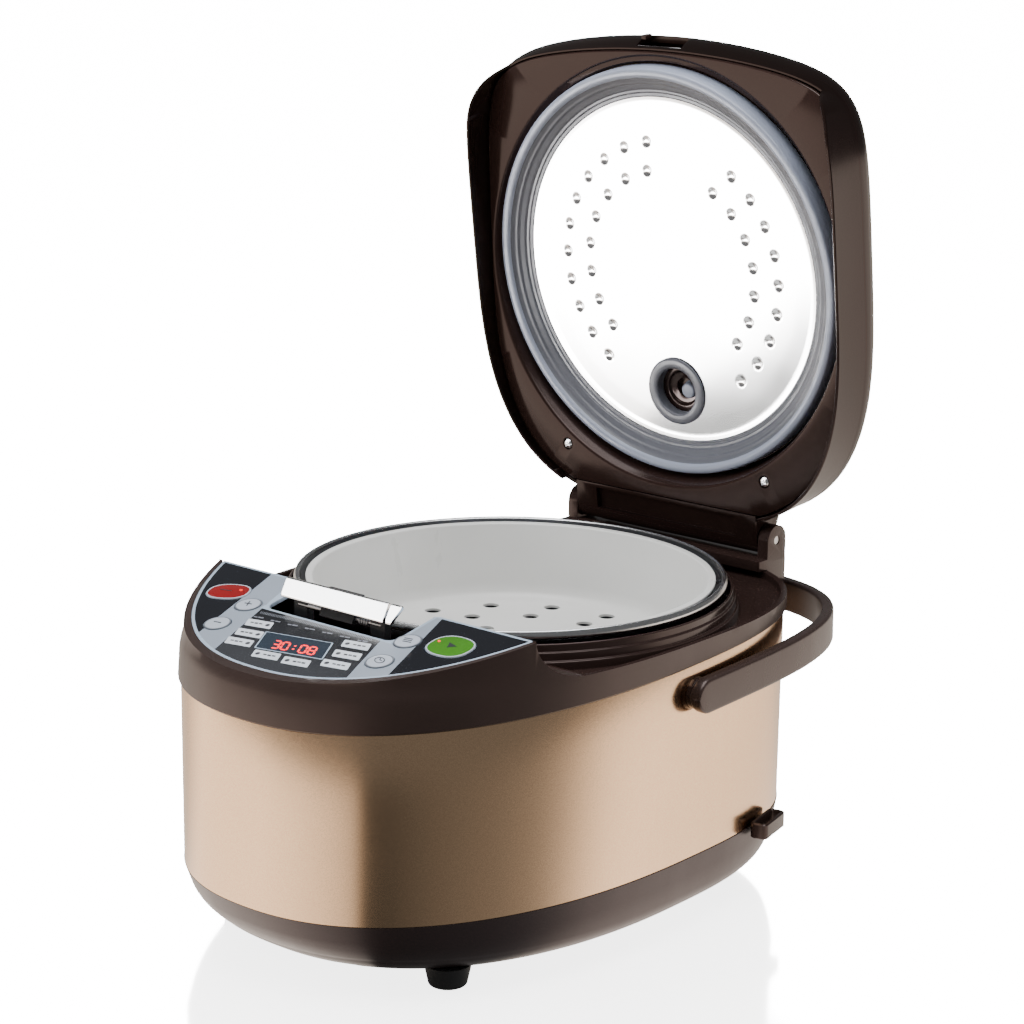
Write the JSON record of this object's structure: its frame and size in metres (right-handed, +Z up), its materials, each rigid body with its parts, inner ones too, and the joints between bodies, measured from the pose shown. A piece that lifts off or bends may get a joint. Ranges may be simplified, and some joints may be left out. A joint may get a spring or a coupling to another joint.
{
  "type": "rice cooker",
  "caption": "Oval countertop rice cooker with a hinged lid held open, a lift-out pot with a perforated steaming tray, a sloping key panel and a bail handle",
  "frame": {"origin": "under the middle of the cooker on the table, lid open", "axes": "+Z up, the controls face -Y, +X is the cooker's right side seen from the front"},
  "size_m": [0.283, 0.3932, 0.4735],
  "materials": {
    "housing": "satin dark brown-grey plastic",
    "inner": "glossy dark brown plastic",
    "skirt": "satin champagne paint with a fine speckle",
    "silicone": "matt blue-grey silicone",
    "foot": "matt black rubber",
    "panel": "printed film, silver and black",
    "window": "tinted glossy window",
    "chrome": "bright chrome",
    "steel": "plain steel",
    "aluminium": "bright smooth aluminium",
    "pot": "grey non-stick coating",
    "tray": "light grey satin plastic",
    "board": "green circuit board",
    "electric": "black plastic",
    "key_red": "glossy red",
    "key_green": "glossy green",
    "key_silver": "satin silver"
  },
  "bodies": {
    "body": {"base_housing": "housing", "foot_front_left": "foot", "foot_front_right": "foot", "foot_rear_left": "foot", "foot_rear_right": "foot", "power_inlet": "electric", "spoon_holder": "inner", "body_skirt": "skirt", "upper_housing": "housing", "control_panel": "panel", "display_window": "window", "led_display": "electric", "control_board": "board", "latch_bracket": "electric", "latch_pin": "steel", "latch_spring": "steel", "inner_shell": "steel", "heating_plate": "aluminium", "sensor_spring": "steel", "power_board": "board", "power_relay": "electric", "board_capacitor": "electric", "hinge_bracket": "inner", "hinge_shaft": "steel", "lid_spring": "steel", "handle_boss_left": "housing", "handle_boss_right": "housing"},
    "lid": {"lid_shell": "inner", "lid_liner": "inner", "lid_screw_left": "steel", "lid_screw_right": "steel", "lid_catch": "steel"},
    "inner_lid": {"inner_lid_plate": "aluminium", "lid_gasket": "silicone", "vent_seal": "silicone"},
    "steam_cap": {"steam_valve": "inner"},
    "pot": {"inner_pot": "pot"},
    "tray": {"steam_tray": "tray"},
    "handle": {"handle": "housing"},
    "release": {"lid_release_button": "chrome", "latch_hook": "electric"},
    "sensor": {"temperature_sensor": "aluminium"},
    "press_cancel": {"key_cancel": "key_red"},
    "press_plus": {"key_plus": "key_silver"},
    "press_minus": {"key_minus": "key_silver"},
    "press_menu": {"key_menu": "key_silver"},
    "press_preset": {"key_preset": "key_silver"},
    "press_start": {"key_start": "key_green"}
  },
  "joints": [
    {"name": "lid_hinge", "type": "hinge", "parent": "body", "child": "lid", "pos_m": [0, 0.1671, 0.1839], "axis": [1, 0, 0], "range_deg": [0, 82.14], "stiffness_Nm_per_rad": 0.65, "springref_deg": -20.05},
    {"name": "inner_lid_pull", "type": "slide", "parent": "lid", "child": "inner_lid", "axis": [0, -0.9906, -0.1368], "range_m": [0, 0.015]},
    {"name": "steam_cap_pull", "type": "slide", "parent": "lid", "child": "steam_cap", "axis": [0, 0.9906, 0.1368], "range_m": [0, 0.01]},
    {"name": "pot_lift", "type": "slide", "parent": "body", "child": "pot", "axis": [0, 0, 1], "range_m": [0, 0.2]},
    {"name": "tray_lift", "type": "slide", "parent": "pot", "child": "tray", "axis": [0, 0, 1], "range_m": [0, 0.048]},
    {"name": "handle_swing", "type": "hinge", "parent": "body", "child": "handle", "pos_m": [0, 0.015, 0.1392], "axis": [1, 0, 0], "range_deg": [0, 9]},
    {"name": "release_press", "type": "hinge", "parent": "body", "child": "release", "pos_m": [0, -0.122, 0.186], "axis": [1, 0, 0], "range_deg": [0, 8], "stiffness_Nm_per_rad": 0.3, "springref_deg": -11.46},
    {"name": "sensor_press", "type": "slide", "parent": "body", "child": "sensor", "axis": [0, 0, -1], "range_m": [0, 0.002], "stiffness_N_per_m": 400, "springref_m": -0.002, "deforming": ["sensor_spring"]},
    {"name": "press_cancel", "type": "slide", "parent": "body", "child": "press_cancel", "axis": [0, 0.1961, -0.9806], "range_m": [0, 0.0006], "stiffness_N_per_m": 800, "springref_m": -0.0006},
    {"name": "press_plus", "type": "slide", "parent": "body", "child": "press_plus", "axis": [0, 0.1961, -0.9806], "range_m": [0, 0.0006], "stiffness_N_per_m": 800, "springref_m": -0.0006},
    {"name": "press_minus", "type": "slide", "parent": "body", "child": "press_minus", "axis": [0, 0.1961, -0.9806], "range_m": [0, 0.0006], "stiffness_N_per_m": 800, "springref_m": -0.0006},
    {"name": "press_menu", "type": "slide", "parent": "body", "child": "press_menu", "axis": [0, 0.1961, -0.9806], "range_m": [0, 0.0006], "stiffness_N_per_m": 800, "springref_m": -0.0006},
    {"name": "press_preset", "type": "slide", "parent": "body", "child": "press_preset", "axis": [0, 0.1961, -0.9806], "range_m": [0, 0.0006], "stiffness_N_per_m": 800, "springref_m": -0.0006},
    {"name": "press_start", "type": "slide", "parent": "body", "child": "press_start", "axis": [0, 0.1961, -0.9806], "range_m": [0, 0.0006], "stiffness_N_per_m": 800, "springref_m": -0.0006}
  ]
}
